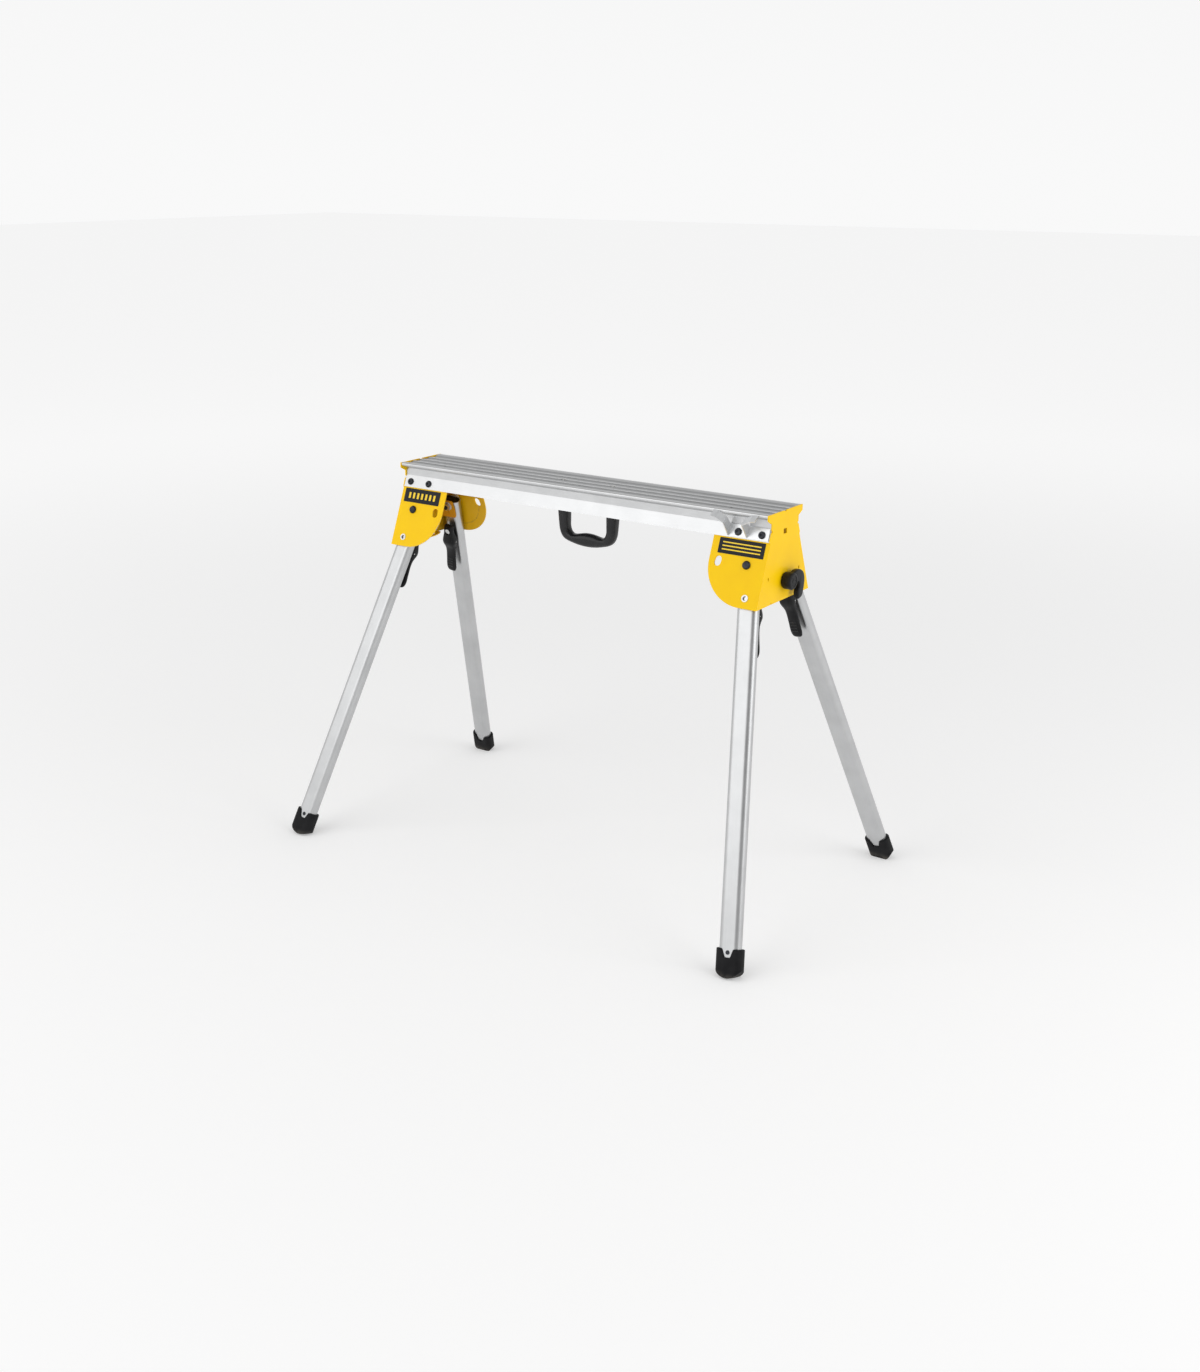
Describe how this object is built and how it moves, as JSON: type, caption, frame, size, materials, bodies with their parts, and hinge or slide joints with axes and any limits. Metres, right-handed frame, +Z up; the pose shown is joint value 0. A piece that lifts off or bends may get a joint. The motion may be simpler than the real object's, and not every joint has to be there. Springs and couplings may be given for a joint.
{
  "type": "folding sawhorse",
  "caption": "Folding sawhorse with a ribbed aluminium beam, splayed tube legs that fold and lock by spring pins, release levers, rubber boots, a carrying handle and a board rest.",
  "frame": {"origin": "on the floor, under the middle of the beam", "axes": "+X along the beam towards the end with the transport hook, -Y is the front with the label plates and the board rest, +Z up"},
  "size_m": [1.1566, 0.6862, 0.813],
  "materials": {
    "beam_aluminium": "satin extruded",
    "leg_aluminium": "satin anodised",
    "yellow_steel": "powder coat, semi-gloss",
    "amber_steel": "powder coat, semi-gloss",
    "black_steel": "black oxide",
    "zinc_steel": "bright zinc",
    "zinc_sheet": "satin zinc",
    "spring_steel": "drawn wire",
    "white_nylon": "moulded",
    "rubber": "moulded",
    "black_plastic": "moulded, fine texture",
    "label": "printed film"
  },
  "bodies": {
    "root": {"beam": "beam_aluminium", "beam_screws": "black_steel", "carry_handle": "black_plastic", "end_bracket_left": "yellow_steel", "end_bracket_right": "yellow_steel", "handle_screws": "zinc_steel", "hook_pivot": "zinc_steel", "label_left": "label", "label_right": "label", "lock_bushes": "zinc_steel", "pivot_bolts": "black_steel", "pivot_bracket_left": "amber_steel", "pivot_bracket_right": "amber_steel", "pivot_nuts": "zinc_steel", "pivot_washers": "white_nylon", "side_rest": "zinc_sheet"},
    "leg_left_front": {"leg_tube_left_front": "leg_aluminium", "leg_plug_left_front": "black_plastic", "foot_boot_left_front": "rubber", "boot_screw_left_front": "black_steel", "lever_bracket_left_front": "zinc_steel", "lever_pin_left_front": "zinc_steel", "lock_spring_left_front": "spring_steel"},
    "lever_left_front": {"release_lever_left_front": "black_plastic"},
    "pin_left_front": {"lock_pin_left_front": "zinc_steel"},
    "leg_left_rear": {"leg_tube_left_rear": "leg_aluminium", "leg_plug_left_rear": "black_plastic", "foot_boot_left_rear": "rubber", "boot_screw_left_rear": "black_steel", "lever_bracket_left_rear": "zinc_steel", "lever_pin_left_rear": "zinc_steel", "lock_spring_left_rear": "spring_steel"},
    "lever_left_rear": {"release_lever_left_rear": "black_plastic"},
    "pin_left_rear": {"lock_pin_left_rear": "zinc_steel"},
    "leg_right_front": {"leg_tube_right_front": "leg_aluminium", "leg_plug_right_front": "black_plastic", "foot_boot_right_front": "rubber", "boot_screw_right_front": "black_steel", "lever_bracket_right_front": "zinc_steel", "lever_pin_right_front": "zinc_steel", "lock_spring_right_front": "spring_steel"},
    "lever_right_front": {"release_lever_right_front": "black_plastic"},
    "pin_right_front": {"lock_pin_right_front": "zinc_steel"},
    "leg_right_rear": {"leg_tube_right_rear": "leg_aluminium", "leg_plug_right_rear": "black_plastic", "foot_boot_right_rear": "rubber", "boot_screw_right_rear": "black_steel", "lever_bracket_right_rear": "zinc_steel", "lever_pin_right_rear": "zinc_steel", "lock_spring_right_rear": "spring_steel"},
    "lever_right_rear": {"release_lever_right_rear": "black_plastic"},
    "pin_right_rear": {"lock_pin_right_rear": "zinc_steel"},
    "hook": {"transport_hook": "black_plastic"}
  },
  "joints": [
    {"name": "leg_fold_left_front", "type": "hinge", "parent": "root", "child": "leg_left_front", "pos_m": [-0.4205, -0.07477, 0.713], "axis": [0, -0.9336, 0.3584], "range_deg": [0, 96.4]},
    {"name": "lever_left_front", "type": "hinge", "parent": "leg_left_front", "child": "lever_left_front", "pos_m": [-0.43665, -0.0709, 0.61341], "axis": [-0.9848, 0.0622, 0.1621], "range_deg": [0, 8], "stiffness_Nm_per_rad": 0.6, "springref_deg": -8.02},
    {"name": "pin_slide_left_front", "type": "slide", "parent": "leg_left_front", "child": "pin_left_front", "axis": [0, 0.9336, -0.3584], "range_m": [0, 0.0041], "deforming": ["lock_spring_left_front"]},
    {"name": "leg_fold_left_rear", "type": "hinge", "parent": "root", "child": "leg_left_rear", "pos_m": [-0.4205, 0.07477, 0.713], "axis": [0, -0.9336, -0.3584], "range_deg": [0, 96.4]},
    {"name": "lever_left_rear", "type": "hinge", "parent": "leg_left_rear", "child": "lever_left_rear", "pos_m": [-0.43665, 0.0709, 0.61341], "axis": [0.9848, 0.0622, -0.1621], "range_deg": [0, 8], "stiffness_Nm_per_rad": 0.6, "springref_deg": -8.02},
    {"name": "pin_slide_left_rear", "type": "slide", "parent": "leg_left_rear", "child": "pin_left_rear", "axis": [0, -0.9336, -0.3584], "range_m": [0, 0.0041], "deforming": ["lock_spring_left_rear"]},
    {"name": "leg_fold_right_front", "type": "hinge", "parent": "root", "child": "leg_right_front", "pos_m": [0.4205, -0.07477, 0.713], "axis": [0, 0.9336, -0.3584], "range_deg": [0, 103.6]},
    {"name": "lever_right_front", "type": "hinge", "parent": "leg_right_front", "child": "lever_right_front", "pos_m": [0.43665, -0.0709, 0.61341], "axis": [-0.9848, -0.0622, -0.1621], "range_deg": [0, 8], "stiffness_Nm_per_rad": 0.6, "springref_deg": -8.02},
    {"name": "pin_slide_right_front", "type": "slide", "parent": "leg_right_front", "child": "pin_right_front", "axis": [0, 0.9336, -0.3584], "range_m": [0, 0.0041], "deforming": ["lock_spring_right_front"]},
    {"name": "leg_fold_right_rear", "type": "hinge", "parent": "root", "child": "leg_right_rear", "pos_m": [0.4205, 0.07477, 0.713], "axis": [0, 0.9336, 0.3584], "range_deg": [0, 103.6]},
    {"name": "lever_right_rear", "type": "hinge", "parent": "leg_right_rear", "child": "lever_right_rear", "pos_m": [0.43665, 0.0709, 0.61341], "axis": [0.9848, -0.0622, 0.1621], "range_deg": [0, 8], "stiffness_Nm_per_rad": 0.6, "springref_deg": -8.02},
    {"name": "pin_slide_right_rear", "type": "slide", "parent": "leg_right_rear", "child": "pin_right_rear", "axis": [0, -0.9336, -0.3584], "range_m": [0, 0.0041], "deforming": ["lock_spring_right_rear"]},
    {"name": "hook_turn", "type": "hinge", "parent": "root", "child": "hook", "pos_m": [0.461, 0.003, 0.674], "axis": [1, 0, 0], "range_deg": [0, 90]}
  ],
  "couplings": [
    {"joint": "pin_slide_left_front", "follows": "lever_left_front", "m_per_rad": 0.029},
    {"joint": "pin_slide_left_rear", "follows": "lever_left_rear", "m_per_rad": 0.029},
    {"joint": "pin_slide_right_front", "follows": "lever_right_front", "m_per_rad": 0.029},
    {"joint": "pin_slide_right_rear", "follows": "lever_right_rear", "m_per_rad": 0.029}
  ]
}
